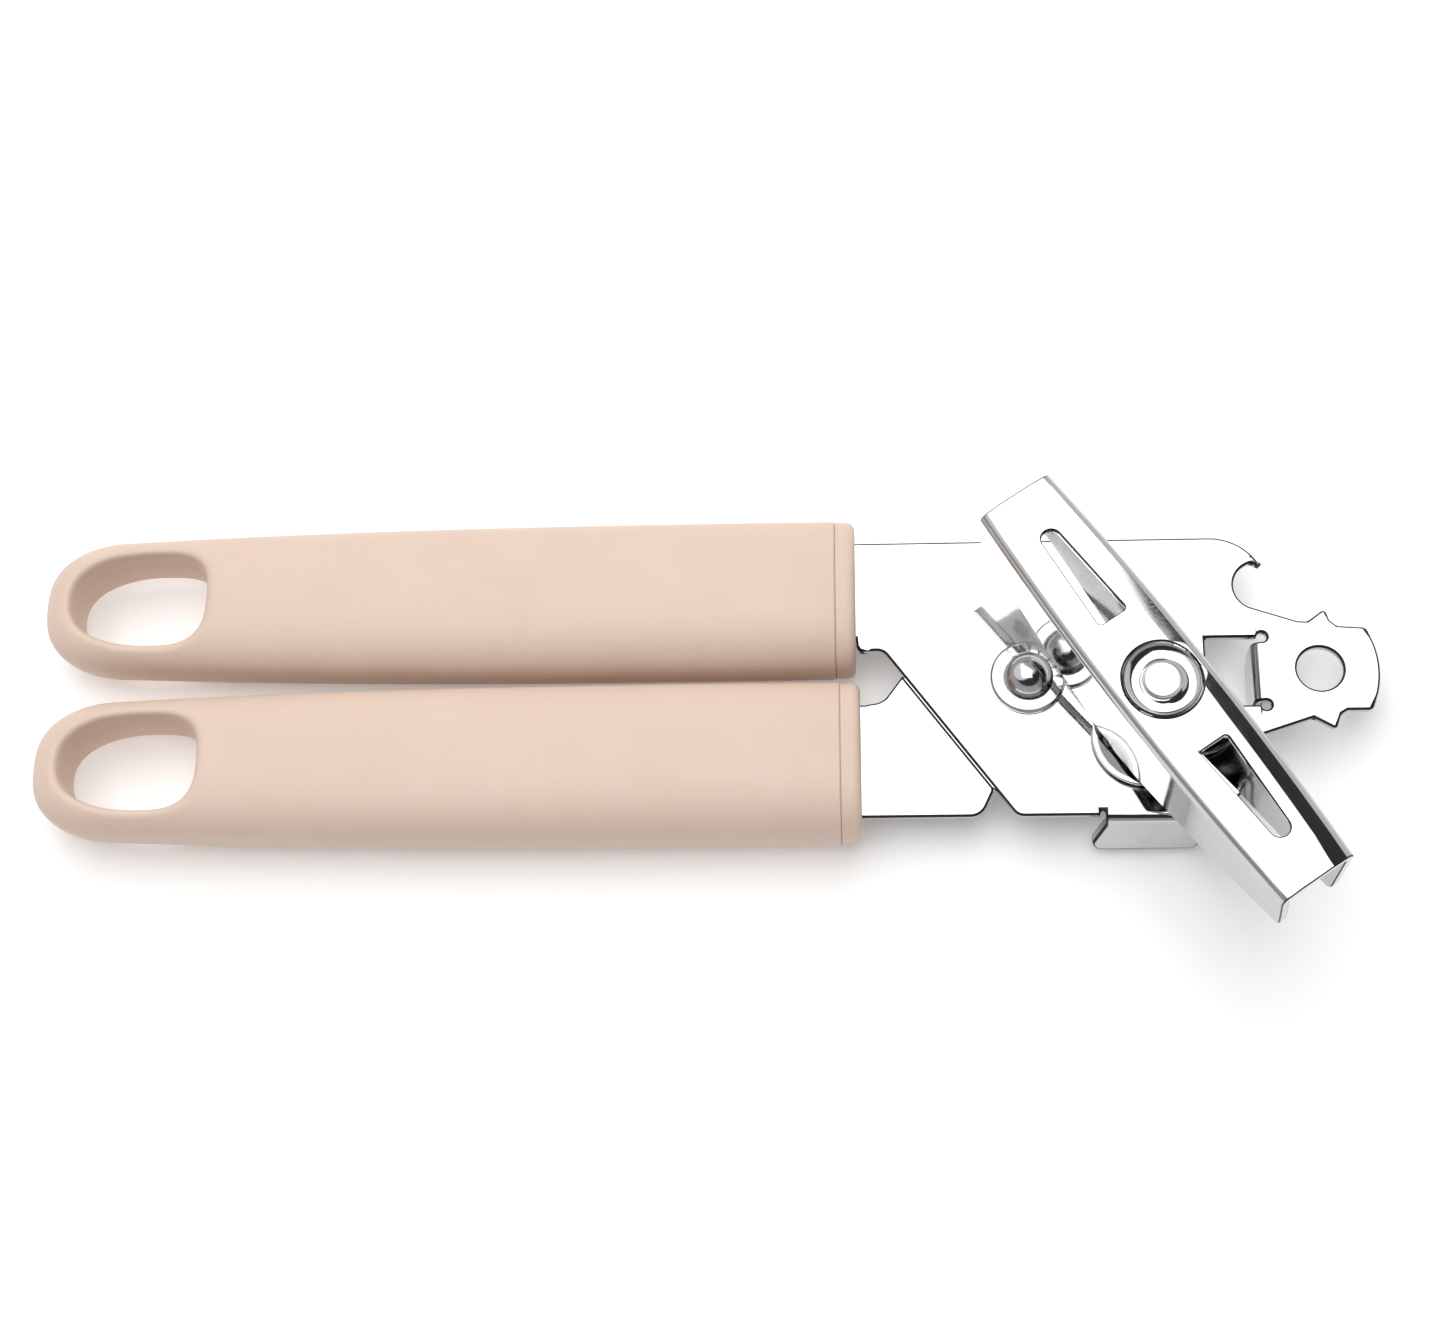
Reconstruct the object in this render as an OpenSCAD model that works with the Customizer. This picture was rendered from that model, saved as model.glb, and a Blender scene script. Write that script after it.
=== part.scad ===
// Manual can opener: two levers that cross at a rivet, each a pressed steel plate in a
// moulded grip. The upper lever carries the crank, its shaft and the toothed feed wheel.
// The lower lever carries the cutting wheel, which parts from the feed wheel as the grips open.
// Millimetres. +X runs from the grips to the head, +Z is the crank's side, z = 0 is the
// surface that the opener lies on. Inside the modules, x and y count from the lever pivot.

/* [Grips] */
// Length of one grip without its collar
grip_l = 120.5; // [100:0.5:130]
// Greatest width of a grip
grip_w = 24.2; // [22:0.1:26]
// Greatest thickness of a grip
grip_t = 15; // [14.6:0.1:16]
// Width of a grip where its rounded end begins
grip_end_w = 21.2; // [20:0.1:22]
// Thickness of a grip where its rounded end begins
grip_end_t = 13; // [11:0.5:13]
// Least gap between the two closed grips
grip_gap = 1.7; // [0.8:0.1:2]
// Length of the collar that closes a grip
collar_l = 3; // [2:0.5:4]
// Length of the hanging hole in a grip
hang_l = 20.6; // [18:0.2:22]
// Width of the hanging hole in a grip
hang_w = 14.2; // [13:0.1:15]

/* [Levers] */
// Thickness of each steel plate
plate_t = 1.4; // [1.2:0.1:1.5]
// Gap between the two plates
plate_gap = 0.3; // [0.3:0.05:0.4]
// Reach of the upper lever's plate above the pivot
plate_top_y = 22.2; // [22:0.1:23]
// Reach of the upper lever's plate below the pivot
plate_low_y = 21.2; // [20.5:0.1:21.5]
// Length of each plate's tang inside its grip
tang_l = 55; // [40:1:70]
// Radius of the hanging hole in the head
tail_hole_r = 3.4; // [3:0.05:3.6]
// Radius of the bottle opener's notch
notch_r = 3.8; // [3.6:0.1:4]

/* [Pivot] */
// Radius of the pivot rivet's shank
rivet_r = 3; // [2.5:0.1:3.2]
// Radius of the pivot rivet's domed head
rivet_head_r = 3.75; // [3.6:0.05:4]
// Radius of the washer under the domed head
rivet_washer_r = 5.55; // [5:0.05:6]

/* [Crank] */
// Length of the crank key
crank_l = 68.2; // [64:0.1:70]
// Greatest width of the crank key, over the middle of its bowed sides
crank_w = 14.4; // [14:0.1:15]
// Width of the crank key at its ends
crank_end_w = 12; // [11.6:0.1:12.6]
// Thickness of the crank key's sheet
crank_t = 1.3; // [1.2:0.1:1.5]
// Height of the crank key's top face above the upper plate
crank_rise = 24.6; // [23:0.1:26]
// Depth of the crank key's flanges at the ends
flange_end_d = 12.8; // [11:0.1:14]
// Angle of the crank key about its shaft, from the X axis
crank_angle = -56; // [-180:1:180]

/* [Wheels] */
// Radius of the toothed feed wheel over its teeth
feed_r = 6.4; // [6:0.1:6.4]
// Number of teeth on the feed wheel
feed_teeth = 20; // [16:1:24]
// Radius of the cutting wheel
cutter_r = 9.4; // [8.5:0.1:9.4]
// Radius of the drive shaft's journal
journal_r = 2.9; // [2.6:0.1:3]
// Running clearance on the radius of each bearing
run_fit = 0.05; // [0.02:0.01:0.08]

/* [Hidden] */
$fn = 64;
eps = 0.01;

steel = "gainsboro";
dark_steel = "silver";
brass = "darkkhaki";
plastic = [0.86, 0.76, 0.68];

// Where the pivot stands, counted from the centre of the opener's footprint
pivot_x = 48.6;
pivot_y = 7.5;

// Flat land on the underside and the top of each grip, cut this far into its oval section
land_cut = 0.12;

// Levels, upwards from the surface
mid_z = grip_t / 2 - land_cut;
front_z0 = mid_z + plate_gap / 2;
front_z1 = front_z0 + plate_t;
back_z1 = mid_z - plate_gap / 2;
back_z0 = back_z1 - plate_t;
crank_top_z = front_z1 + crank_rise;

// Crank shaft and cutter stud
shaft = [16.6, -9.5];
stud = [16.6, 6.5];

// Grips: the collar's outer end, the seam and the tip; the lower grip stands lower_dx nearer the head
collar_x = -25.3;
seam_x = collar_x - collar_l;
grip_x0 = seam_x - grip_l;
end_round_l = 13;
grips_mid_y = 0.55;
upper_y = grips_mid_y + (grip_gap + grip_w) / 2;
lower_y = grips_mid_y - (grip_gap + grip_w) / 2;
lower_dx = 0.5;
section_power = 2.7;
section_steps = 40;
slot_play = 0.05;

// Points of an arc, from angle a0 to a1
function arc(c, r, a0, a1, steps = 12) =
    [for (i = [0:steps]) c + r * [cos(a0 + (a1 - a0) * i / steps), sin(a0 + (a1 - a0) * i / steps)]];

// A signed power, for rounded squares
function spow(v, p) = sign(v) * pow(abs(v), p);

// Outline of a grip's cross-section: a rounded square of width w and thickness t
function section(w, t) =
    [for (i = [0:section_steps - 1])
        let (a = 360 * i / section_steps)
        [w / 2 * spow(cos(a), 2 / section_power), t / 2 * spow(sin(a), 2 / section_power)]];

module about_pivot() {
    translate([pivot_x, pivot_y, 0]) children();
}

module at_shaft() {
    about_pivot() translate([shaft[0], shaft[1], 0]) children();
}

module at_stud() {
    about_pivot() translate([stud[0], stud[1], 0]) children();
}

// A flat washer between two levels
module washer(r_out, r_in, z0, z1) {
    translate([0, 0, z0])
        difference() {
            cylinder(r = r_out, h = z1 - z0);
            translate([0, 0, -1]) cylinder(r = r_in, h = z1 - z0 + 2);
        }
}

// One thin cross-section slab of a grip, at a distance x along it
slab_t = 0.05;
module slab(x, w, t) {
    translate([x, 0, mid_z]) rotate([90, 0, 90]) linear_extrude(slab_t) polygon(section(w, t));
}

// ---- grips ----

// Width and thickness along the grip: s = 0 at the seam, 1 where the end starts to round
widest_s = 0.22;
width_power = 2.4;
function grip_width(s) =
    grip_w - (grip_w - grip_end_w) * pow(abs(s - widest_s) / (1 - widest_s), width_power);
function grip_thickness(s) = grip_t - (grip_t - grip_end_t) * pow(s, 2);

module grip_body() {
    straight = grip_l - end_round_l;
    steps = 9;
    end_steps = 7;
    tip_share = 0.2;
    hull() {
        for (i = [0:steps])
            slab(seam_x - slab_t - straight * i / steps, grip_width(i / steps), grip_thickness(i / steps));
        for (i = [1:end_steps])
            let (a = 90 * i / end_steps, share = max(pow(cos(a), 2 / section_power), tip_share))
            slab(seam_x - straight - end_round_l * sin(a), grip_end_w * share, grip_end_t * share);
    }
}

// The hanging hole: a long oval half outwards, a shorter and squarer half inwards
hang_wall = 4.8;
hang_long = 0.6 * hang_l;
hang_power_out = 2.3;
hang_power_in = 3;
hang_steps = 48;

module hang_hole() {
    translate([grip_x0 + hang_wall + hang_long, 0, -1])
        linear_extrude(grip_t + 2)
            polygon([for (i = [0:hang_steps - 1])
                let (a = 360 * (i + 0.5) / hang_steps,
                     inwards = cos(a) > 0,
                     reach = inwards ? hang_l - hang_long : hang_long,
                     p = 2 / (inwards ? hang_power_in : hang_power_out))
                [reach * spow(cos(a), p), hang_w / 2 * spow(sin(a), p)]]);
}

// The slot that a plate's tang fills
module tang_slot(z0) {
    translate([seam_x - tang_l - slot_play, -tang_w / 2 - slot_play, z0 - slot_play])
        cube([tang_l + collar_l + 2, tang_w + 2 * slot_play, plate_t + 2 * slot_play]);
}

module grip(dx, y, z0) {
    about_pivot() translate([dx, y, 0])
        intersection() {
            difference() {
                grip_body();
                hang_hole();
                tang_slot(z0);
            }
            translate([grip_x0 - 5, -grip_w, 0]) cube([grip_l + 10, 2 * grip_w, grip_t - 2 * land_cut]);
        }
}

// A collar, with its outer end rounded over in two steps, round a neck that spans neck in y
module collar(dx, y, neck, z0) {
    w = grip_w - 0.4;
    t = grip_t - 2 * land_cut - 0.05;
    about_pivot()
        difference() {
            translate([dx, y, 0])
                hull() {
                    slab(seam_x, w, t);
                    slab(collar_x - 1.1, w, t);
                    slab(collar_x - 0.35, w - 0.8, t - 0.8);
                    slab(collar_x - slab_t, w - 2, t - 2);
                }
            translate([seam_x - 1, neck[0] - slot_play, z0 - slot_play])
                cube([collar_l + 3, neck[1] - neck[0] + 2 * slot_play, plate_t + 2 * slot_play]);
        }
}

// The plates' necks, where they leave the collars
front_neck = [6.8, plate_top_y];
back_neck = [-20.7, -3.2];
tang_w = 12;

module upper_grip() {
    color(plastic) grip(0, upper_y, front_z0);
}

module lower_grip() {
    color(plastic) grip(lower_dx, lower_y, back_z0);
}

module upper_collar() {
    color(plastic) collar(0, upper_y, front_neck, front_z0);
}

module lower_collar() {
    color(plastic) collar(lower_dx, lower_y, back_neck, back_z0);
}

// ---- upper lever ----

tail_y = 0.95;
tail_hole_x = 42.9;
tail_end_x = 51.6;
notch = [34.9, 14.35];

// Outline of the upper lever's plate, clockwise from its neck
function front_outline() = concat(
    [[seam_x - eps, front_neck[0]], [seam_x - eps, upper_y - tang_w / 2],
     [seam_x - tang_l, upper_y - tang_w / 2], [seam_x - tang_l, upper_y + tang_w / 2],
     [seam_x - eps, upper_y + tang_w / 2], [seam_x - eps, front_neck[1]]],
    arc([27.8, plate_top_y - 8.4], 8.4, 90, 30),
    arc([34.95, 17.95], 0.5, 20, -100, 5),
    arc(notch, notch_r, 104, 243, 20),
    [[40.2, tail_y + 7.6], [41.6, tail_y + 7.55]],
    arc([44, tail_y + 8.65], 0.55, 120, 15, 5),
    [[44.85, tail_y + 7.7], [45.9, tail_y + 6.75], [49.2, tail_y + 6.5]],
    arc([49.4, tail_y + 5.5], 1, 90, 25, 5),
    arc([tail_end_x - 14, tail_y], 14, 16, -16, 8),
    arc([49.4, tail_y - 5.5], 1, -25, -90, 5),
    [[46.4, tail_y - 6.5], [45.4, tail_y - 7.1]],
    arc([44.3, tail_y - 8.65], 0.55, -15, -120, 5),
    [[41.4, tail_y - 7.6], [33.9, tail_y - 10.1]],
    arc([22.4, -plate_low_y + 11.5], 11.5, 0, -90, 14),
    [[-1.2, -plate_low_y]],
    arc([-1.2, -plate_low_y + 2], 2, -100, -138, 5),
    arc([-22.2, 3], 1.8, 37, 90, 6),
    [[-24.4, 4.7]],
    arc([-24.2, 5.7], 1, -100, -180, 5),
    [[collar_x, front_neck[0]]]
);

// Rim guides: strips of the plate bent down at its lower edge and in a window
bend_r = 1.6;
bend_lead = 0.6;
guide_w = 12.2;
guide_flare = 1.8;
guide_lean = 21;
guide_d = 6.3;
guide_y = -plate_low_y + 0.5;
guide_foot_r = 2.6;
window_x = [26.3, 34.7];
window_y = [-4.6, 6.1];
side_guide_d = 6.2;
relief_r = 0.75;

// Section of a strip that runs flat, bends down about [0, 0] and leans out by lean from upright
function bent_strip(lean, d) =
    let (down = [sin(lean), -cos(lean)], out = [cos(lean), sin(lean)])
    concat(
        [[-bend_lead, bend_r]],
        arc([0, 0], bend_r, 90, lean, 8),
        [bend_r * out + d * down, (bend_r - plate_t) * out + d * down],
        arc([0, 0], bend_r - plate_t, lean, 90, 4),
        [[-bend_lead, bend_r - plate_t]]
    );

// Front view of a guide: as wide as its bend at the top, flared towards a rounded foot
function guide_front(w, flare, d) = concat(
    [[-w / 2, bend_r + 1], [-w / 2, 0]],
    arc([-w / 2 - flare + guide_foot_r, -d + guide_foot_r], guide_foot_r, 195, 270, 7),
    arc([w / 2 + flare - guide_foot_r, -d + guide_foot_r], guide_foot_r, -90, -15, 7),
    [[w / 2, 0], [w / 2, bend_r + 1]]
);

module bent_guide(w, flare, lean, d) {
    reach = w + 2 * flare + 2;
    intersection() {
        rotate([90, 0, 0])
            translate([0, 0, -reach / 2])
                linear_extrude(reach) polygon(bent_strip(lean, d));
        rotate([90, 0, 90])
            translate([0, 0, -reach])
                linear_extrude(2 * reach) polygon(guide_front(w, flare, d * cos(lean)));
    }
}

module low_guide() {
    translate([shaft[0], guide_y, front_z1 - bend_r])
        rotate(-90) bent_guide(guide_w, guide_flare, guide_lean, guide_d);
}

module side_guide() {
    w = window_y[1] - window_y[0] - 2 * relief_r;
    translate([window_x[1], (window_y[0] + window_y[1]) / 2, front_z1 - bend_r])
        rotate(180) bent_guide(w, 0, 0, side_guide_d);
}

module front_plate() {
    bushing_hole_r = journal_r + 1.3;
    color(steel)
        about_pivot() {
            difference() {
                translate([0, 0, front_z0]) linear_extrude(plate_t) polygon(front_outline());
                translate([0, 0, front_z0 - 1]) cylinder(r = rivet_r, h = plate_t + 2);
                translate([shaft[0], shaft[1], front_z0 - 1]) cylinder(r = bushing_hole_r, h = plate_t + 2);
                translate([tail_hole_x, tail_y, front_z0 - 1]) cylinder(r = tail_hole_r, h = plate_t + 2);
                translate([window_x[0], window_y[0], front_z0 - 1])
                    cube([window_x[1] - window_x[0], window_y[1] - window_y[0], plate_t + 2]);
                for (y = window_y)
                    translate([window_x[1], y, front_z0 - 1])
                        cylinder(r = relief_r, h = plate_t + 2, $fn = 24);
                translate([shaft[0] - guide_w / 2 - relief_r, guide_y + bend_lead / 2, front_z0 - 1])
                    mirror([0, 1, 0]) cube([guide_w + 2 * relief_r, 5, plate_t + 2]);
            }
            low_guide();
            side_guide();
        }
}

// Pivot rivet: a shank through both plates, a ball-like head in front, a low head behind
rivet_head_h = 3.2;
rivet_tail_h = 1.7;
front_washer_t = 0.9;
back_washer_t = 0.8;
thrust_gap = 0.1;
tail_z = back_z0 - thrust_gap - back_washer_t;

module pivot_rivet() {
    ball_r = (rivet_head_r * rivet_head_r + rivet_head_h * rivet_head_h) / (2 * rivet_head_h);
    head_z = front_z1 + front_washer_t;
    color(steel)
        about_pivot() {
            translate([0, 0, tail_z]) cylinder(r = rivet_r, h = head_z - tail_z);
            intersection() {
                translate([0, 0, head_z + rivet_head_h - ball_r]) sphere(r = ball_r);
                translate([0, 0, head_z]) cylinder(r = rivet_head_r, h = rivet_head_h + 1);
            }
            translate([0, 0, tail_z - rivet_tail_h])
                cylinder(r1 = rivet_r, r2 = rivet_r + 1.5, h = rivet_tail_h);
        }
}

module pivot_front_washer() {
    rim = 0.3;
    color(steel)
        about_pivot()
            rotate_extrude()
                polygon([[rivet_r, front_z1], [rivet_washer_r, front_z1],
                         [rivet_washer_r, front_z1 + front_washer_t - rim],
                         [rivet_washer_r - rim, front_z1 + front_washer_t],
                         [rivet_r, front_z1 + front_washer_t]]);
}

module pivot_shim() {
    color(brass)
        about_pivot() washer(5, rivet_r, back_z1 + thrust_gap / 2, front_z0);
}

module pivot_back_washer() {
    color(steel)
        about_pivot() washer(5, rivet_r, tail_z, tail_z + back_washer_t);
}

// The flanged bushing that the crank shaft turns in
bushing_flange_t = 0.45;

module shaft_bushing() {
    color(brass)
        at_shaft() {
            washer(journal_r + 1.3, journal_r + run_fit, front_z0, front_z1 + 0.2);
            washer(journal_r + 2.3, journal_r + run_fit, front_z0 - bushing_flange_t, front_z0);
        }
}

// ---- lower lever ----

// Outline of the lower lever's plate, clockwise from its neck
back_seam_x = seam_x + lower_dx;
function back_outline() = concat(
    [[back_seam_x - eps, back_neck[0]], [back_seam_x - eps, lower_y - tang_w / 2],
     [back_seam_x - tang_l, lower_y - tang_w / 2], [back_seam_x - tang_l, lower_y + tang_w / 2],
     [back_seam_x - eps, lower_y + tang_w / 2], [back_seam_x - eps, back_neck[1]], [-24, back_neck[1]]],
    arc([-23.2, 0.2], 3.2, -90, -45, 6),
    arc([-5, 6.6], 8, 132, 100, 8),
    arc(stud, 8.3, 105, -90, 26),
    arc([5.5, -11.2], 10, 85, 150, 10),
    [[-5.6, -17]],
    arc([-9, back_neck[0] + 2.6], 2.6, -30, -90, 6)
);

module back_plate() {
    color(steel)
        about_pivot()
            difference() {
                translate([0, 0, back_z0]) linear_extrude(plate_t) polygon(back_outline());
                translate([0, 0, back_z0 - 1]) cylinder(r = rivet_r + run_fit, h = plate_t + 2);
                translate([stud[0], stud[1], back_z0 - 1]) cylinder(r = stud_r, h = plate_t + 2);
            }
}

// Cutter stud: pressed through the plate, with a shoulder that the cutter turns on
stud_r = 2.2;
stud_shoulder_r = 2.8;
stud_head_r = 4.6;
stud_head_t = 0.9;
stud_low_z = 0.3;

module cutter_stud() {
    color(dark_steel)
        at_stud() {
            translate([0, 0, back_z0 - eps]) cylinder(r = stud_r, h = plate_t + eps);
            translate([0, 0, stud_low_z + stud_head_t - eps])
                cylinder(r = stud_shoulder_r, h = back_z0 - stud_low_z - stud_head_t + eps);
            translate([0, 0, stud_low_z])
                cylinder(r1 = stud_head_r - 0.5, r2 = stud_head_r, h = stud_head_t);
        }
}

cutter_washer_t = 0.6;

module cutter_washer() {
    color(steel)
        at_stud() washer(4.8, stud_shoulder_r, back_z0 - cutter_washer_t, back_z0);
}

// ---- crank ----

key_x = [-crank_l / 2, crank_l / 2];
flange_mid_d = crank_rise - 1.4;
flange_lean = 5;
key_bend_r = 1.5;
shaft_neck_r = 2.3;
rivet_end_r = 2.75;
rivet_end_h = 0.7;

// Each side of the key is bowed in plan, along a circle
key_bow = (crank_w - crank_end_w) / 2;
key_bow_r = (pow(crank_l / 2, 2) + pow(key_bow, 2)) / (2 * key_bow);
key_bow_fn = 1000;

// The web is flat in the middle, then falls by a few degrees towards each flange
fall_a = 8;
fall_y = 3.6;
fall_r = 4;
key_bend_y = crank_w / 2 - key_bend_r;
key_bend_z = -fall_r * (1 - cos(fall_a)) - key_bend_r * cos(fall_a)
    - (key_bend_y + key_bend_r * sin(fall_a) - fall_y - fall_r * sin(fall_a)) * tan(fall_a);

// The groove round the shaft's riveted end: a hollow curve, lowest at dish_low_r
dish_low_r = 3.92;
dish_r = 5.7;
dish_d = 1.1;
dish_curve_r = (pow(dish_r - dish_low_r, 2) + pow(dish_d, 2)) / (2 * dish_d);
dish_seat_r = rivet_end_r + 0.05;

module at_key() {
    at_shaft() rotate(crank_angle) translate([0, 0, crank_top_z]) children();
}

// Half of the key's section, from the middle to a flange's edge, at a depth inside its outer face
function key_half(depth) =
    let (r = key_bend_r - depth, lean_z = key_bend_z - r * sin(flange_lean))
    concat(
        arc([fall_y, -fall_r], fall_r - depth, 90, 90 - fall_a, 3),
        arc([key_bend_y, key_bend_z], r, 90 - fall_a, -flange_lean, 9),
        [[key_bend_y + r * cos(flange_lean) - (flange_mid_d + lean_z) * tan(flange_lean), -flange_mid_d]]
    );

function reversed(points) = [for (i = [len(points) - 1:-1:0]) points[i]];

// One side of the key: half of the web and a flange rolled down, swept along the bowed side
module key_side_body() {
    section = concat([[-1, 0]], key_half(0), reversed(key_half(crank_t)), [[-1, -crank_t]]);
    centre_y = crank_w / 2 - key_bow_r;
    half_angle = asin((crank_l / 2 + 2) / key_bow_r);
    intersection() {
        translate([0, centre_y, 0])
            rotate(90 - half_angle)
                rotate_extrude(angle = 2 * half_angle, $fn = key_bow_fn)
                    translate([-centre_y, 0]) polygon(section);
        translate([-crank_l, -eps, -crank_rise]) cube([2 * crank_l, crank_w, crank_rise + 1]);
    }
}

// Side view of the key: shallow flanges at the ends, deepest under the shaft
function key_side() =
    let (foot_r = 2)
    concat(
        [[key_x[0], 0.5]],
        [[key_x[0] - 0.6, -flange_end_d + foot_r]],
        arc([key_x[0] - 0.6 + foot_r, -flange_end_d + foot_r], foot_r, 180, 250, 6),
        arc([0, -flange_mid_d + 6], 6, 254, 286, 6),
        arc([key_x[1] + 0.6 - foot_r, -flange_end_d + foot_r], foot_r, 290, 360, 6),
        [[key_x[1], 0.5]]
    );

// A tapered slot: a narrow round end outwards, a wide end near the shaft
module key_slot() {
    hull() {
        translate([25.6, 0]) circle(r = 1.45, $fn = 32);
        for (side = [-1, 1])
            translate([11.8, side * 1.7]) circle(r = 0.6, $fn = 24);
    }
}

// The hollow over the groove and under the shaft's riveted end, up to a little above the web
module dish() {
    centre_z = dish_curve_r - dish_d;
    inner_a = asin((dish_low_r - dish_seat_r) / dish_curve_r);
    outer_a = asin((dish_r - dish_low_r) / dish_curve_r);
    rotate_extrude()
        polygon(concat(
            [[0, 1], [0, centre_z - dish_curve_r * cos(inner_a)]],
            arc([dish_low_r, centre_z], dish_curve_r, -90 - inner_a, -90 + outer_a, 12),
            [[dish_r, 1]]
        ));
}

module crank_key() {
    color(steel)
        at_key()
            difference() {
                union() {
                    intersection() {
                        union() {
                            key_side_body();
                            rotate(180) key_side_body();
                        }
                        rotate([90, 0, 0])
                            translate([0, 0, -crank_w])
                                linear_extrude(2 * crank_w) polygon(key_side());
                    }
                    translate([0, 0, -crank_t - dish_d])
                        cylinder(r1 = dish_r - 0.7, r2 = dish_r + 0.6, h = dish_d + eps);
                }
                dish();
                translate([0, 0, -crank_rise]) cylinder(r = shaft_neck_r, h = crank_rise + 1);
                for (turn = [0, 180])
                    rotate(turn)
                        translate([0, 0, -crank_t - 1]) linear_extrude(crank_t + 2) key_slot();
            }
}

shaft_r = 3.2;
flat_half = 2.1;
shaft_tail_r = 1.9;
feed_z1 = front_z0 - bushing_flange_t - thrust_gap;
feed_z0 = 3.3;
feed_washer_t = 0.6;
shaft_low_z = 1.3;
washer_z0 = front_z1 + 0.2 + thrust_gap;

module drive_shaft() {
    web_low_z = crank_top_z - crank_t - dish_d;
    feed_fit_r = 2.7;
    color(dark_steel)
        at_shaft() {
            translate([0, 0, feed_z1]) cylinder(r = journal_r, h = washer_z0 - feed_z1);
            translate([0, 0, washer_z0 - eps]) cylinder(r = shaft_r, h = web_low_z - washer_z0 + eps);
            translate([0, 0, web_low_z - eps])
                cylinder(r = shaft_neck_r, h = crank_top_z - 0.5 - web_low_z);
            translate([0, 0, crank_top_z - rivet_end_h])
                cylinder(r1 = shaft_neck_r, r2 = rivet_end_r, h = rivet_end_h - 0.4);
            translate([0, 0, crank_top_z - 0.4 - eps])
                cylinder(r1 = rivet_end_r, r2 = rivet_end_r - 0.3, h = 0.4 + eps);
            intersection() {
                translate([0, 0, feed_z0 - feed_washer_t - eps])
                    cylinder(r = feed_fit_r, h = feed_z1 - feed_z0 + feed_washer_t + 2 * eps);
                translate([-5, -flat_half, 0]) cube([10, 2 * flat_half, 20]);
            }
            translate([0, 0, shaft_low_z])
                cylinder(r1 = 2.2, r2 = 3, h = feed_z0 - feed_washer_t - shaft_low_z);
        }
}

// Dished washer between the key's flanges and the bushing
module crank_washer() {
    wall = 0.6;
    rise = 0.45;
    r_out = 7.7;
    color(steel)
        at_shaft()
            rotate_extrude()
                polygon([[shaft_r, washer_z0], [shaft_r + 1.4, washer_z0],
                         [r_out - 0.8, washer_z0 + rise], [r_out, washer_z0 + rise],
                         [r_out, washer_z0 + rise + wall - 0.1], [r_out - 0.3, washer_z0 + rise + wall],
                         [r_out - 0.9, washer_z0 + rise + wall], [shaft_r + 1.4, washer_z0 + wall],
                         [shaft_r, washer_z0 + wall]]);
}

// Feed wheel: saw-like teeth round a disc, on a smooth hub
module feed_wheel() {
    root_r = feed_r - 0.9;
    hub_t = 0.8;
    pitch = 360 / feed_teeth;
    color(dark_steel)
        at_shaft()
            difference() {
                union() {
                    translate([0, 0, feed_z0])
                        linear_extrude(feed_z1 - feed_z0 - hub_t)
                            polygon([for (i = [0:feed_teeth - 1], k = [0:3])
                                let (r = k == 0 || k == 3 ? root_r : feed_r,
                                     a = pitch * (i + [0, 0.34, 0.5, 0.84][k]))
                                r * [cos(a), sin(a)]]);
                    translate([0, 0, feed_z1 - hub_t - eps]) cylinder(r = 4.6, h = hub_t + eps);
                }
                intersection() {
                    translate([0, 0, feed_z0 - 1]) cylinder(r = 2.7, h = 8);
                    translate([-5, -flat_half, 0]) cube([10, 2 * flat_half, 20]);
                }
            }
}

module feed_washer() {
    color(steel)
        at_shaft()
            difference() {
                translate([0, 0, feed_z0 - feed_washer_t]) cylinder(r = 4.2, h = feed_washer_t);
                intersection() {
                    translate([0, 0, feed_z0 - 2]) cylinder(r = 2.7, h = 3);
                    translate([-5, -flat_half, 0]) cube([10, 2 * flat_half, 20]);
                }
            }
}

// ---- cutter ----

cutter_edge_z = 1.5;
cutter_disc_t = 1.5;
cutter_hub_z1 = back_z0 - cutter_washer_t - thrust_gap;
bushing_r = 3.9;

module cutter_wheel() {
    color(dark_steel)
        at_stud()
            rotate_extrude()
                polygon([[bushing_r, cutter_edge_z], [cutter_r - 0.6, cutter_edge_z],
                         [cutter_r, cutter_edge_z + 0.35], [cutter_r - 1.6, cutter_edge_z + cutter_disc_t],
                         [5.4, cutter_edge_z + cutter_disc_t], [5.4, cutter_hub_z1 - 0.3],
                         [5.1, cutter_hub_z1], [bushing_r, cutter_hub_z1]]);
}

module cutter_bushing() {
    bushing_z0 = stud_low_z + stud_head_t + thrust_gap;
    color(brass)
        at_stud() washer(bushing_r, stud_shoulder_r + run_fit, bushing_z0, cutter_hub_z1);
}

front_plate();
upper_grip();
upper_collar();
pivot_rivet();
pivot_front_washer();
pivot_shim();
pivot_back_washer();
shaft_bushing();
back_plate();
lower_grip();
lower_collar();
cutter_stud();
cutter_washer();
crank_key();
drive_shaft();
crank_washer();
feed_wheel();
feed_washer();
cutter_wheel();
cutter_bushing();
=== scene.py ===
"""Manual can opener: smooth grips and collars, finished metal parts, soft light and the camera.

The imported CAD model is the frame. The metal parts are the CAD's own, with rounded edges and
materials. The grips and collars are meshed here from formulas, inside their CAD solids.
Lengths are in metres, in the frame's axes: +X towards the head, +Z up.
"""
import math

import bpy
import numpy as np
from mathutils import Matrix, Vector


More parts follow.
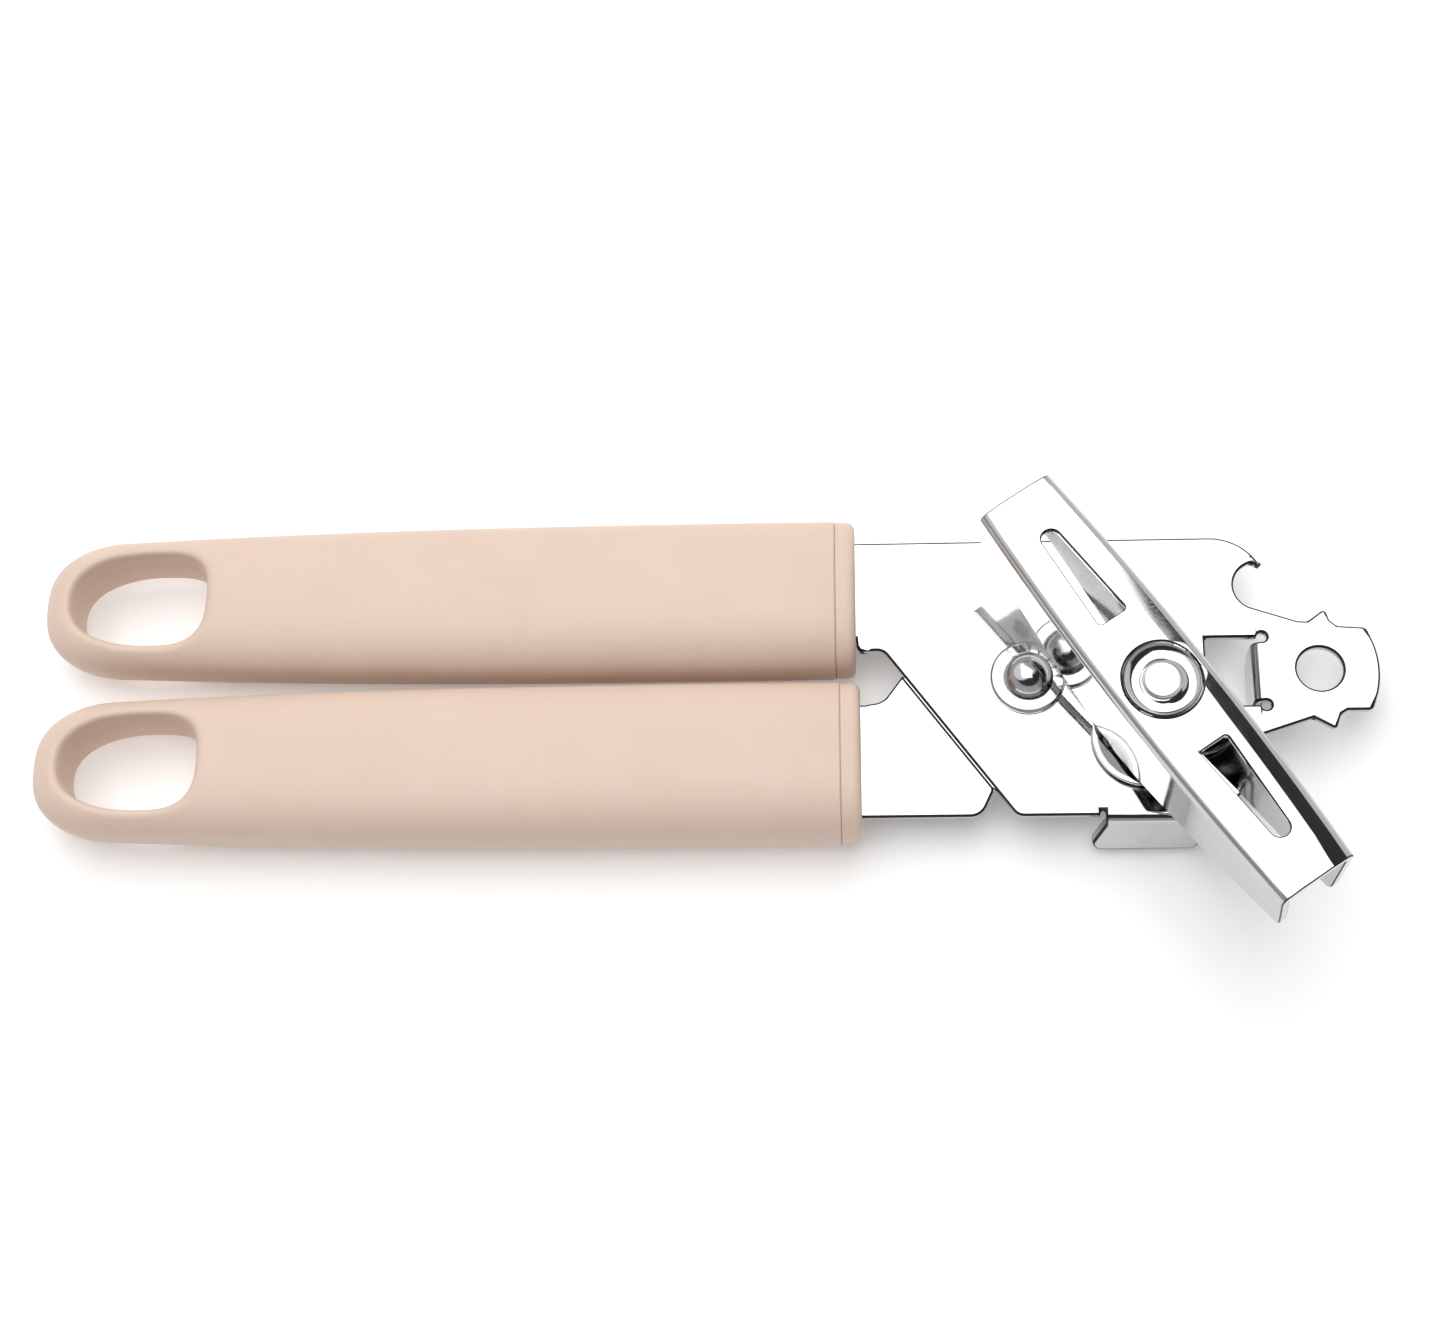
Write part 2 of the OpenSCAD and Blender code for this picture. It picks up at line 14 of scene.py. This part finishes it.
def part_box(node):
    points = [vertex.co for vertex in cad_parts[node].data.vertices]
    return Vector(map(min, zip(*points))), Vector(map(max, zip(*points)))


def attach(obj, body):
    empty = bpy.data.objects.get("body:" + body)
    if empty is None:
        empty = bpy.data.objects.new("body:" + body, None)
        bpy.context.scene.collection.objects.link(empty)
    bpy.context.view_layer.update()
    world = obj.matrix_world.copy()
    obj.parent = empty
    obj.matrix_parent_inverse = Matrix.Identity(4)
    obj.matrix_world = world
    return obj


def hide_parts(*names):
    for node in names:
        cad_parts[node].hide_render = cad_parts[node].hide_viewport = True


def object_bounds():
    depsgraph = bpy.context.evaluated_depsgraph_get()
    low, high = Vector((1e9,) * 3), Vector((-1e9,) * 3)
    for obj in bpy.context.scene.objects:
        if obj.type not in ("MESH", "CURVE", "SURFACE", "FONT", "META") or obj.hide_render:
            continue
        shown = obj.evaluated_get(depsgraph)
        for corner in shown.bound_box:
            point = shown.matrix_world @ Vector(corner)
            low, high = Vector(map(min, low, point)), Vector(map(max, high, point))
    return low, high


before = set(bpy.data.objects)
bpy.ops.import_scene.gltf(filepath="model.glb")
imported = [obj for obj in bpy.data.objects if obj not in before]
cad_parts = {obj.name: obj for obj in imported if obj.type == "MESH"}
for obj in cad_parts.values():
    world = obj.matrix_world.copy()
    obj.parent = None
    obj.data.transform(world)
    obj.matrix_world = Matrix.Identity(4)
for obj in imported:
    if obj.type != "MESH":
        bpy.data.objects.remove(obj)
cad_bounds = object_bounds()

MM = 0.001

# ---- camera and light ----

CAMERA_AZIMUTH = 8.376
CAMERA_ELEVATION = 68.965
CAMERA_ROLL = -8.644
CAMERA_DISTANCE = 375.04 * MM
CAMERA_TARGET = Vector((3.27, 11.44, 7.4)) * MM
CAMERA_LENS = 62.28
SENSOR_WIDTH = 36.0

# The softbox leans away from the vertical by these angles, towards +X and +Y
SOFTBOX_TILT = (-3.3, 14)
SOFTBOX_DISTANCE = 0.8
SOFTBOX_SIZE = (0.77, 1.08)
SOFTBOX_POWER = 5.5

# The studio is dark but for pale patches, each round a direction. A patch fades in between two
# cosines of the angle from that direction: (direction, where it starts, where it is full, grey)
WALL_GREY = 0.045
CEILING = ((-0.45, 0.22, 0.87), 0.70, 0.80, 0.9)
CARD_LOW_BY_THE_HEAD = ((0.83, 0.55, 0.10), 0.66, 0.72, 0.8)
LOWER_WALLS = ((0, 0, -1), -0.60, -0.42, 0.45)

FLOOR_SIZE = 3.0
FLOOR_COLOUR = (0.93, 0.93, 0.93, 1.0)
FLOOR_ROUGHNESS = 0.9
FLOOR_SPECULAR = 0.1
FLOOR_GLOW = 0.17


def direction(azimuth, elevation):
    """The unit vector from the object towards a place at that azimuth and elevation, in degrees."""
    a, e = math.radians(azimuth), math.radians(elevation)
    return Vector((math.sin(a) * math.cos(e), -math.cos(a) * math.cos(e), math.sin(e)))


def add_camera():
    back = direction(CAMERA_AZIMUTH, CAMERA_ELEVATION)
    level = back.cross(Vector((0, 0, 1))).normalized() * -1
    roll = Matrix.Rotation(math.radians(CAMERA_ROLL), 3, back)
    right = roll @ level
    turn = Matrix((right, back.cross(right), back)).transposed()
    data = bpy.data.cameras.new("camera")
    data.sensor_fit = "HORIZONTAL"
    data.sensor_width = SENSOR_WIDTH
    data.lens = CAMERA_LENS
    data.clip_start = 0.01
    camera = bpy.data.objects.new("camera", data)
    place = CAMERA_TARGET + back * CAMERA_DISTANCE
    camera.matrix_world = Matrix.Translation(place) @ turn.to_4x4()
    bpy.context.scene.collection.objects.link(camera)
    bpy.context.scene.camera = camera


def add_softbox():
    """One large panel overhead, with its sides along the frame's X and Y axes."""
    data = bpy.data.lights.new("softbox", "AREA")
    data.shape = "RECTANGLE"
    data.size, data.size_y = SOFTBOX_SIZE
    data.energy = SOFTBOX_POWER
    back = Vector((*(math.tan(math.radians(tilt)) for tilt in SOFTBOX_TILT), 1)).normalized()
    across = (Vector((1, 0, 0)) - back * back.x).normalized()
    turn = Matrix((across, back.cross(across), back)).transposed()
    light = bpy.data.objects.new("softbox", data)
    light.matrix_world = Matrix.Translation(back * SOFTBOX_DISTANCE) @ turn.to_4x4()
    bpy.context.scene.collection.objects.link(light)


def add_world():
    """The studio round the softbox: dark walls, which draw the metal's edges, with pale patches."""
    world = bpy.data.worlds.new("studio")
    world.use_nodes = True
    bpy.context.scene.world = world
    tree = world.node_tree
    place = tree.nodes.new("ShaderNodeTexCoord").outputs["Generated"]
    brightest = None
    for axis, start, full, grey in (CEILING, CARD_LOW_BY_THE_HEAD, LOWER_WALLS):
        towards = tree.nodes.new("ShaderNodeVectorMath")
        towards.operation = "DOT_PRODUCT"
        towards.inputs[1].default_value = Vector(axis).normalized()
        tree.links.new(place, towards.inputs[0])
        fade = tree.nodes.new("ShaderNodeMapRange")
        fade.interpolation_type = "SMOOTHSTEP"
        fade.inputs["From Min"].default_value = start
        fade.inputs["From Max"].default_value = full
        fade.inputs["To Max"].default_value = grey
        tree.links.new(towards.outputs["Value"], fade.inputs["Value"])
        brighter = tree.nodes.new("ShaderNodeMath")
        brighter.operation = "MAXIMUM"
        brighter.inputs[1].default_value = WALL_GREY
        tree.links.new(fade.outputs[0], brighter.inputs[0])
        if brightest:
            tree.links.new(brightest, brighter.inputs[1])
        brightest = brighter.outputs[0]
    tree.links.new(brightest, tree.nodes["Background"].inputs["Color"])


def add_floor():
    half = FLOOR_SIZE / 2
    corners = [(-half, -half, 0), (half, -half, 0), (half, half, 0), (-half, half, 0)]
    mesh = bpy.data.meshes.new("floor")
    mesh.from_pydata(corners, [], [(0, 1, 2, 3)])
    floor = bpy.data.objects.new("floor", mesh)
    floor.location.z = cad_bounds[0][2]
    material = bpy.data.materials.new("floor")
    material.use_nodes = True
    shader = material.node_tree.nodes["Principled BSDF"]
    shader.inputs["Base Color"].default_value = FLOOR_COLOUR
    shader.inputs["Roughness"].default_value = FLOOR_ROUGHNESS
    shader.inputs["Specular IOR Level"].default_value = FLOOR_SPECULAR
    shader.inputs["Emission Color"].default_value = FLOOR_COLOUR
    shader.inputs["Emission Strength"].default_value = FLOOR_GLOW
    mesh.materials.append(material)
    bpy.context.scene.collection.objects.link(floor)


# ---- materials ----

# Each material drifts between two colours
PLASTIC = ((0.70, 0.54, 0.445), (0.725, 0.565, 0.47))
PLASTIC_SPECK = (0.68, 0.51, 0.41)
CHROME = ((0.54, 0.54, 0.548), (0.59, 0.59, 0.596))
# Near-black on the cut edges: partly dull cut sheet, partly a painted dark reflection along the
# outlines
CUT_EDGE_AND_PAINTED_DARK_REFLECTION = ((0.03, 0.03, 0.031), (0.055, 0.055, 0.057))
RIVET_STEEL = ((0.60, 0.60, 0.61), (0.66, 0.66, 0.665))
ZINC = ((0.48, 0.49, 0.50), (0.62, 0.63, 0.64))
TOOL_STEEL = ((0.36, 0.365, 0.375), (0.47, 0.475, 0.485))
WORN_EDGE = (0.82, 0.82, 0.83)
BRONZE = ((0.55, 0.38, 0.19), (0.68, 0.50, 0.28))
BRONZE_PORE = (0.25, 0.16, 0.08)

# The sockets of a Mix node that hold colours
MIX_FIRST, MIX_SECOND, MIX_RESULT = 6, 7, 2


class Surface:
    """A material under construction: its node tree, its shader and short ways to add nodes."""

    def __init__(self, name, metallic=0.0):
        self.material = bpy.data.materials.new(name)
        self.material.use_nodes = True
        self.tree = self.material.node_tree
        self.shader = self.tree.nodes["Principled BSDF"]
        self.shader.inputs["Metallic"].default_value = metallic
        self.place = self.add("ShaderNodeTexCoord").outputs["Object"]

    def add(self, kind, settings=None, **inputs):
        """A node with its properties set, and each input given a value or linked to a socket."""
        node = self.tree.nodes.new(kind)
        for key, value in (settings or {}).items():
            setattr(node, key, value)
        for key, value in inputs.items():
            self.feed(node.inputs[key.replace("_", " ")], value)
        return node

    def feed(self, socket, value):
        if isinstance(value, bpy.types.NodeSocket):
            self.tree.links.new(value, socket)
        else:
            socket.default_value = value

    def noise(self, size, detail=3.0, stretch=(1, 1, 1), turn=(0, 0, 0)):
        """Noise with features of about that size, in metres, stretched along the axes."""
        scale = [1 / (size * s) for s in stretch]
        spot = self.add("ShaderNodeMapping", Vector=self.place, Rotation=turn, Scale=scale)
        texture = self.add("ShaderNodeTexNoise", Vector=spot.outputs[0], Scale=1.0, Detail=detail)
        return texture.outputs["Fac"]

    def remap(self, value, low, high, start=0.3, end=0.7):
        """value from start to end, as low to high."""
        names = {"From_Min": start, "From_Max": end, "To_Min": low, "To_Max": high}
        return self.add("ShaderNodeMapRange", Value=value, **names).outputs[0]

    def mix(self, share, first, second):
        node = self.add("ShaderNodeMix", {"data_type": "RGBA"})
        self.feed(node.inputs["Factor"], share)
        for index, value in ((MIX_FIRST, first), (MIX_SECOND, second)):
            linked = isinstance(value, bpy.types.NodeSocket)
            self.feed(node.inputs[index], value if linked else (*value, 1))
        return node.outputs[MIX_RESULT]

    def drift(self, noise, colours):
        """From the first colour to the second as the noise rises."""
        return self.mix(self.remap(noise, 0, 1), *colours)

    def edges(self, low, high):
        """0 on flat stretches, up to 1 on sharp outer edges."""
        sharp = self.add("ShaderNodeNewGeometry").outputs["Pointiness"]
        return self.remap(sharp, 0.0, 1.0, low, high)

    def colour(self, value):
        self.feed(self.shader.inputs["Base Color"], value)

    def roughness(self, value):
        self.feed(self.shader.inputs["Roughness"], value)

    def bump(self, *layers):
        """Height layers, each (socket, depth in metres), one on top of the other."""
        normal = None
        for height, depth in layers:
            node = self.add("ShaderNodeBump", Height=height, Distance=depth, Strength=1.0)
            if normal:
                self.feed(node.inputs["Normal"], normal)
            normal = node.outputs[0]
        self.feed(self.shader.inputs["Normal"], normal)


def grip_plastic():
    """Satin moulded plastic, pale pink-beige, with a fine eroded grain."""
    s = Surface("grip_plastic")
    cloudy = s.noise(14 * MM, 2.0)
    speckle = s.noise(0.35 * MM, 2.0)
    s.colour(s.mix(s.remap(speckle, 0, 0.35), s.drift(cloudy, PLASTIC), PLASTIC_SPECK))
    s.roughness(s.remap(s.noise(4 * MM, 3.0), 0.46, 0.56))
    s.bump((speckle, 0.006 * MM), (s.noise(9 * MM, 1.0), 0.02 * MM))
    s.shader.inputs["Subsurface Weight"].default_value = 0.08
    s.shader.inputs["Subsurface Radius"].default_value = (1.2 * MM, 0.6 * MM, 0.4 * MM)
    s.shader.inputs["Subsurface Scale"].default_value = 1.0
    return s.material


def chrome():
    """Bright plated steel: slightly uneven from the press, with hairline scratches."""
    s = Surface("chrome", metallic=1.0)
    haze = s.noise(6 * MM, 3.0)
    hairlines = s.noise(0.12 * MM, 2.0, stretch=(60, 1, 1), turn=(0, 0, 0.5))
    cross_lines = s.noise(0.15 * MM, 2.0, stretch=(45, 1, 1), turn=(0, 0, -0.9))
    s.colour(s.drift(haze, CHROME))
    s.roughness(s.remap(haze, 0.05, 0.10))
    s.bump(
        (s.noise(9 * MM, 1.0), 0.02 * MM),
        (s.remap(hairlines, 0, 1, 0.62, 0.72), 0.0008 * MM),
        (s.remap(cross_lines, 0, 1, 0.64, 0.74), 0.0008 * MM),
    )
    return s.material


def cut_edge_and_painted_dark_reflection():
    """The cut edges of the pressed sheet: plated over but dull, and painted near-black as a dark
    reflection along the outlines.
    """
    s = Surface("cut_edge_and_painted_dark_reflection", metallic=1.0)
    burr = s.noise(0.5 * MM, 3.0)
    s.colour(s.drift(burr, CUT_EDGE_AND_PAINTED_DARK_REFLECTION))
    s.roughness(s.remap(burr, 0.28, 0.45))
    s.bump((s.noise(0.25 * MM, 2.0), 0.002 * MM))
    return s.material


def polished_steel():
    """The rivet: headed and polished, with a faint uneven haze."""
    s = Surface("rivet_steel", metallic=1.0)
    haze = s.noise(2.5 * MM, 3.0)
    s.colour(s.drift(haze, RIVET_STEEL))
    s.roughness(s.remap(haze, 0.08, 0.18))
    s.bump((s.noise(2.5 * MM, 2.0), 0.008 * MM))
    return s.material


def turned_steel(name, axis, colours, rough):
    """Steel turned or ground on a lathe, with rings round the vertical axis through a point."""
    s = Surface(name, metallic=1.0)
    away = s.add("ShaderNodeVectorMath", {"operation": "SUBTRACT"})
    s.feed(away.inputs[0], s.place)
    away.inputs[1].default_value = (axis.x, axis.y, 0)
    flat = s.add("ShaderNodeVectorMath", {"operation": "MULTIPLY"})
    s.feed(flat.inputs[0], away.outputs[0])
    flat.inputs[1].default_value = (1, 1, 0)
    radius = s.add("ShaderNodeVectorMath", {"operation": "LENGTH"})
    s.feed(radius.inputs[0], flat.outputs[0])
    tooling = s.add("ShaderNodeTexNoise", {"noise_dimensions": "1D"}, Detail=2.0)
    s.feed(tooling.inputs["W"], radius.outputs["Value"])
    s.feed(tooling.inputs["Scale"], 1 / (0.16 * MM))
    rings = tooling.outputs["Fac"]
    haze = s.noise(2 * MM, 4.0)
    s.colour(s.mix(s.edges(0.53, 0.62), s.drift(haze, colours), WORN_EDGE))
    s.roughness(s.remap(haze, rough, rough + 0.12))
    s.bump((rings, 0.002 * MM), (s.noise(0.4 * MM, 3.0), 0.001 * MM))
    return s.material


def bronze():
    """Sintered bronze: warm, dull, with open pores."""
    s = Surface("bronze", metallic=1.0)
    pores = s.noise(0.12 * MM, 2.0)
    solid = s.remap(pores, 0, 1, 0.3, 0.42)
    s.colour(s.mix(solid, BRONZE_PORE, s.drift(s.noise(1.5 * MM, 3.0), BRONZE)))
    s.roughness(s.remap(pores, 0.55, 0.35))
    s.bump((solid, 0.004 * MM))
    return s.material


# ---- grips and collars, meshed from formulas ----

# The section is a superellipse with a narrow flat along the top and bottom, LAND deep
SECTION_POWER = 2.7
LAND = 0.12 * MM
LAND_ROUND = 0.2 * MM

# A grip narrows both ways from the widest place, given as a share of its length from the collar
WIDEST_AT = 0.22
WIDTH_POWER = 2.4
END_WIDTH = 21.2 / 24.2
END_THICKNESS = 13 / 15
END_LENGTH = 13 * MM
END_POWER = 2.0

# The hanging hole, with a blunter end towards the head than towards the tip
HOLE_WALL = 4.8 * MM
HOLE_OUTER_HALF = 12.36 * MM
HOLE_INNER_HALF = 8.24 * MM
HOLE_HALF_WIDTH = 7.1 * MM
HOLE_POWER_OUT = 2.3
HOLE_POWER_IN = 3.0
HOLE_DRAFT = 0.045
HOLE_SIDES = 144

RIM_ROUND = 1.7 * MM
SEAM_ROUND = 0.3 * MM
COLLAR_ROUND = 1.5 * MM

# The grids that the surfaces are meshed on
GRIP_STEP = 0.4 * MM
GRIP_LONG_STEP = 1.0 * MM
GRIP_SEAM_STEP = 0.1 * MM
COLLAR_STEP = 0.25 * MM
COLLAR_SEAM_STEP = 0.12 * MM

# How far each round of evening out moves a point towards the middle of its neighbours
EVENING = 0.6
SMOOTH_ANGLE = 50


def smooth_max(a, b, blend):
    """The greater of a and b, rounded over where they are close."""
    near = np.maximum(blend - np.abs(a - b), 0) / blend
    return np.maximum(a, b) + near * near * blend / 4


def oval(y, z, half_w, half_t, end=0.0, end_slope=0.0):
    """Rough distance outside an oval section. end raises it towards the rounded tip."""
    across = np.abs(y) / half_w
    up = np.abs(z) / half_t
    total = across**SECTION_POWER + up**SECTION_POWER + end
    size = np.maximum(total ** (1 / SECTION_POWER), 0.05)
    slope_y = across ** (SECTION_POWER - 1) / half_w
    slope_z = up ** (SECTION_POWER - 1) / half_t
    slope = np.sqrt(slope_y**2 + slope_z**2 + end_slope**2) * size ** (1 - SECTION_POWER)
    return (size - 1) / np.maximum(slope, 1 / (4 * half_w))


def signed_power(value, power):
    return np.sign(value) * np.abs(value) ** power


def hole_distance(x, y):
    """Distance outside the hanging hole in plan, with x counted inwards from the grip's tip."""
    turn = np.linspace(0, 2 * math.pi, 720, endpoint=False)
    power = 2 / np.where(np.cos(turn) > 0, HOLE_POWER_IN, HOLE_POWER_OUT)
    half = np.where(np.cos(turn) > 0, HOLE_INNER_HALF, HOLE_OUTER_HALF)
    rim_x = HOLE_WALL + HOLE_OUTER_HALF + half * signed_power(np.cos(turn), power)
    rim_y = HOLE_HALF_WIDTH * signed_power(np.sin(turn), power)
    distance = np.full(np.shape(x), -1.0)
    for angle in np.linspace(0, 2 * math.pi, HOLE_SIDES, endpoint=False):
        c, s = math.cos(angle), math.sin(angle)
        distance = np.maximum(distance, x * c + y * s - (rim_x * c + rim_y * s).max())
    return distance


def grip_shape(low, high):
    """The formula of a grip that fills a CAD grip's box: negative inside the plastic."""
    mid_y, mid_z = (low.y + high.y) / 2, (low.z + high.z) / 2
    width = high.y - low.y
    thickness = high.z - low.z + 2 * LAND
    straight = high.x - low.x - END_LENGTH

    def shape(p):
        x, y, z = p[..., 0], p[..., 1] - mid_y, p[..., 2] - mid_z
        along = np.clip((high.x - x) / straight, 0, 1)
        taper = (np.abs(along - WIDEST_AT) / (1 - WIDEST_AT)) ** WIDTH_POWER
        half_w = width / 2 * (1 - (1 - END_WIDTH) * taper)
        half_t = thickness / 2 * (1 - (1 - END_THICKNESS) * along**2)
        tip = np.maximum(high.x - x - straight, 0) / END_LENGTH
        tip_slope = END_POWER / SECTION_POWER * tip ** (END_POWER - 1) / END_LENGTH
        body = oval(y, z, half_w, half_t, tip**END_POWER, tip_slope)
        body = smooth_max(body, np.abs(z) - (thickness / 2 - LAND), LAND_ROUND)
        body = smooth_max(body, x - high.x, SEAM_ROUND)
        wall = HOLE_DRAFT * np.abs(z) - hole_distance(x - low.x, y)
        return smooth_max(body, wall, RIM_ROUND)

    return shape


def collar_shape(low, high):
    """The formula of a collar: an oval slice with a rounded outer end."""
    mid_y, mid_z = (low.y + high.y) / 2, (low.z + high.z) / 2
    half_w = (high.y - low.y) / 2
    half_t = (high.z - low.z) / 2

    def shape(p):
        x, y, z = p[..., 0], p[..., 1] - mid_y, p[..., 2] - mid_z
        body = oval(y, z, half_w, half_t)
        body = smooth_max(body, low.x - x, SEAM_ROUND)
        return smooth_max(body, x - high.x, COLLAR_ROUND)

    return shape


def surface_net(shape, xs, ys, zs):
    """Points and quads of the surface where shape is 0, with a point in each cell it crosses."""
    grid = np.stack(np.meshgrid(xs, ys, zs, indexing="ij"), -1)
    value = shape(grid)
    cells = np.array(value.shape) - 1
    total, count, quads = np.zeros((cells.prod(), 3)), np.zeros(cells.prod()), []
    for axis in range(3):
        a, b = (axis + 1) % 3, (axis + 2) % 3
        low = tuple(slice(0, -1) if i == axis else slice(None) for i in range(3))
        high = tuple(slice(1, None) if i == axis else slice(None) for i in range(3))
        crossed = np.argwhere((value[low] < 0) != (value[high] < 0))
        at = tuple(crossed.T)
        first, second = value[low][at], value[high][at]
        share = (first / (first - second))[:, None]
        point = grid[low][at] * (1 - share) + grid[high][at] * share
        ring = []
        for step_a, step_b in ((0, 0), (-1, 0), (-1, -1), (0, -1)):
            cell = crossed.copy()
            cell[:, a] += step_a
            cell[:, b] += step_b
            ring.append(np.ravel_multi_index(cell.T, cells))
        ring = np.stack(ring, 1)
        np.add.at(total, ring.ravel(), np.repeat(point, 4, axis=0))
        np.add.at(count, ring.ravel(), 1)
        quads.append(np.where((first < 0)[:, None], ring, ring[:, ::-1]))
    used = np.flatnonzero(count)
    number = np.zeros(len(count), int)
    number[used] = np.arange(len(used))
    return total[used] / count[used, None], number[np.concatenate(quads)]


def settle(points, quads, shape, rounds=4):
    """Evens out the points and puts them exactly on the surface."""
    step = 0.01 * MM
    pairs = np.concatenate([quads[:, [i, (i + 1) % 4]] for i in range(4)])
    degree = np.bincount(pairs.ravel(), minlength=len(points))[:, None]
    for turn in range(rounds + 2):
        if turn < rounds:
            near = np.zeros_like(points)
            np.add.at(near, pairs[:, 0], points[pairs[:, 1]])
            np.add.at(near, pairs[:, 1], points[pairs[:, 0]])
            points = points * (1 - EVENING) + near / degree * EVENING
        value = shape(points)
        rises = [shape(points + step * e) - shape(points - step * e) for e in np.eye(3)]
        slope = np.stack(rises, -1) / (2 * step)
        size = np.maximum((slope**2).sum(-1), 0.05)
        points = points - (value / size)[:, None] * slope
    return points


def apply_modifiers(piece):
    """Keeps the mesh as its modifiers leave it, and removes them."""
    depsgraph = bpy.context.evaluated_depsgraph_get()
    mesh = bpy.data.meshes.new_from_object(piece.evaluated_get(depsgraph), depsgraph=depsgraph)
    piece.modifiers.clear()
    piece.data = mesh


def formula_piece(node, body, shape, axes, plate, material):
    """A smooth piece from a formula, slotted for the plate in it, in place of a CAD node."""
    points, quads = surface_net(shape, *axes)
    points = settle(points, quads, shape)
    mesh = bpy.data.meshes.new(f"{node}_moulding")
    mesh.from_pydata(points.tolist(), [], quads.tolist())
    piece = bpy.data.objects.new(f"{node}_moulding", mesh)
    bpy.context.scene.collection.objects.link(piece)
    slot = piece.modifiers.new("slot", "BOOLEAN")
    slot.operation = "DIFFERENCE"
    slot.object = plate
    slot.solver = "EXACT"
    apply_modifiers(piece)
    piece.data.shade_smooth()
    piece.data.set_sharp_from_angle(angle=math.radians(SMOOTH_ANGLE))
    piece.data.materials.clear()
    piece.data.materials.append(material)
    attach(piece, body)
    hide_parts(node)


def spaced(start, end, step, margin=0.0):
    """Evenly spaced values from start to end, no further apart than step."""
    start, end = start - margin, end + margin
    return np.linspace(start, end, max(2, math.ceil((end - start) / step) + 1))


def add_grip(lever, plate, material):
    node = f"{lever}_grip"
    low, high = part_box(node)
    hole_end = low.x + HOLE_WALL + HOLE_OUTER_HALF + HOLE_INNER_HALF + 3 * MM
    seam = high.x - 1.2 * MM
    xs = np.concatenate(
        [
            spaced(low.x - 0.6 * MM, hole_end, GRIP_STEP)[:-1],
            spaced(hole_end, seam, GRIP_LONG_STEP)[:-1],
            spaced(seam, high.x + 0.2 * MM, GRIP_SEAM_STEP),
        ]
    )
    ys = spaced(low.y, high.y, GRIP_STEP, 0.5 * MM)
    zs = spaced(low.z, high.z, GRIP_STEP, 0.5 * MM)
    formula_piece(node, f"{lever}_lever", grip_shape(low, high), (xs, ys, zs), plate, material)


def add_collar(lever, plate, material):
    node = f"{lever}_collar"
    low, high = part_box(node)
    xs = spaced(low.x, high.x, COLLAR_SEAM_STEP, 0.2 * MM)
    ys = spaced(low.y, high.y, COLLAR_STEP, 0.3 * MM)
    zs = spaced(low.z, high.z, COLLAR_STEP, 0.3 * MM)
    formula_piece(node, f"{lever}_lever", collar_shape(low, high), (xs, ys, zs), plate, material)


# ---- metal parts ----

WELD_DISTANCE = 0.001 * MM
BEVEL_SEGMENTS = 3
BEVEL_ANGLE = 32

# Edge widths, in millimetres
PLATE_EDGE = 0.34
KEY_EDGE = 0.18
WASHER_EDGE = 0.08
BUSHING_EDGE = 0.06


def weld(node):
    """Joins the CAD mesh's split points, so that its faces share edges."""
    join = node.modifiers.new("joined", "WELD")
    join.merge_threshold = WELD_DISTANCE


def round_edges(node, width, slot):
    """Breaks a CAD node's sharp edges, in the material of that slot, and evens out its shading."""
    bevel = node.modifiers.new("broken_edges", "BEVEL")
    bevel.width = width
    bevel.segments = BEVEL_SEGMENTS
    bevel.limit_method = "ANGLE"
    bevel.angle_limit = math.radians(BEVEL_ANGLE)
    bevel.use_clamp_overlap = False
    bevel.loop_slide = False
    bevel.material = slot
    shade = node.modifiers.new("shading", "WEIGHTED_NORMAL")
    shade.keep_sharp = False


def finish_metal(node, material, width, edge=None):
    """A material all over, and rounded edges, in the edge's own material if it has one."""
    mesh = node.data
    normals = mesh.attributes.get("custom_normal")
    if normals:
        mesh.attributes.remove(normals)
    mesh.shade_smooth()
    for slot in node.material_slots:
        slot.material = material
    if edge:
        mesh.materials.append(edge)
    round_edges(node, width, len(mesh.materials) - 1 if edge else -1)


def centre(node):
    low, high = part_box(node)
    return (low + high) / 2


def add_metal(nodes):
    plated = chrome()
    dark_painted_edging = cut_edge_and_painted_dark_reflection()
    polished = polished_steel()
    brass = bronze()
    shaft_axis, stud_axis = centre("drive_shaft"), centre("cutter_stud")
    zinc_shaft = turned_steel("zinc_shaft", shaft_axis, ZINC, 0.26)
    zinc_stud = turned_steel("zinc_stud", stud_axis, ZINC, 0.26)
    tool_feed = turned_steel("tool_feed", shaft_axis, TOOL_STEEL, 0.3)
    tool_cutter = turned_steel("tool_cutter", stud_axis, TOOL_STEEL, 0.24)
    finish = {
        # The plates' and the key's rounded edges get the near-black edge material: a painted dark
        # reflection along their outlines, over dull cut sheet
        "front_plate": (plated, PLATE_EDGE, dark_painted_edging),
        "back_plate": (plated, PLATE_EDGE, dark_painted_edging),
        "crank_key": (plated, KEY_EDGE, dark_painted_edging),
        "crank_washer": (plated, WASHER_EDGE),
        "pivot_front_washer": (plated, WASHER_EDGE),
        "pivot_rivet": (polished, 0.15),
        "pivot_back_washer": (polished, 0.1),
        "pivot_shim": (brass, 0.04),
        "shaft_bushing": (brass, BUSHING_EDGE),
        "cutter_bushing": (brass, BUSHING_EDGE),
        "drive_shaft": (zinc_shaft, WASHER_EDGE),
        "feed_washer": (zinc_shaft, WASHER_EDGE),
        "cutter_stud": (zinc_stud, 0.1),
        "cutter_washer": (zinc_stud, WASHER_EDGE),
        "feed_wheel": (tool_feed, 0.1),
        "cutter_wheel": (tool_cutter, 0.05),
    }
    for name, (material, width, *edge) in finish.items():
        finish_metal(nodes[name], material, width * MM, *edge)


add_camera()
add_world()
add_floor()
add_softbox()

for cad_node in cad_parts.values():
    weld(cad_node)
plastic = grip_plastic()
for lever_name, plate_name in (("upper", "front_plate"), ("lower", "back_plate")):
    add_grip(lever_name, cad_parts[plate_name], plastic)
    add_collar(lever_name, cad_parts[plate_name], plastic)
add_metal(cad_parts)

bpy.context.scene.view_settings.view_transform = "Standard"
